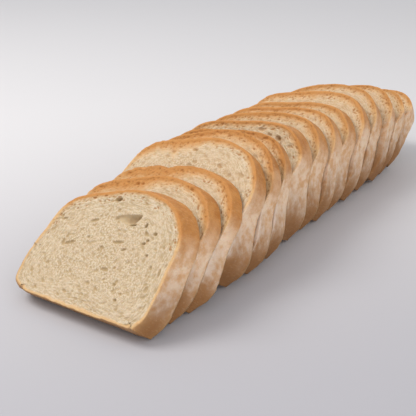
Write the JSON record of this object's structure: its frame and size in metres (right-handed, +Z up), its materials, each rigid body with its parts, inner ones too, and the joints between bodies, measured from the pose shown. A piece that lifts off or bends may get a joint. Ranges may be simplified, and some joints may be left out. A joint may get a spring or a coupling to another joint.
{
  "type": "sliced sourdough loaf",
  "caption": "Tin-shaped sourdough loaf with a domed crown, cut into slices that lean back in a row and still keep the loaf's shape.",
  "frame": {"origin": "middle of the row's bounding box, on the surface that the slices stand on", "axes": "+Z up; +Y along the row from the first slice, whose cut face shows, to the last, which is also the way the slices lean back; +X to the right of someone who looks at the first slice's cut face"},
  "size_m": [0.1294, 0.408, 0.0837],
  "materials": {
    "bread": "matte, porous crumb inside a thin satin crust"
  },
  "bodies": {
    "root": {"slice_01": "bread", "slice_02": "bread", "slice_03": "bread", "slice_04": "bread", "slice_05": "bread", "slice_06": "bread", "slice_07": "bread", "slice_08": "bread", "slice_09": "bread", "slice_10": "bread", "slice_11": "bread", "slice_12": "bread", "slice_13": "bread", "slice_14": "bread", "slice_15": "bread"}
  },
  "joints": []
}
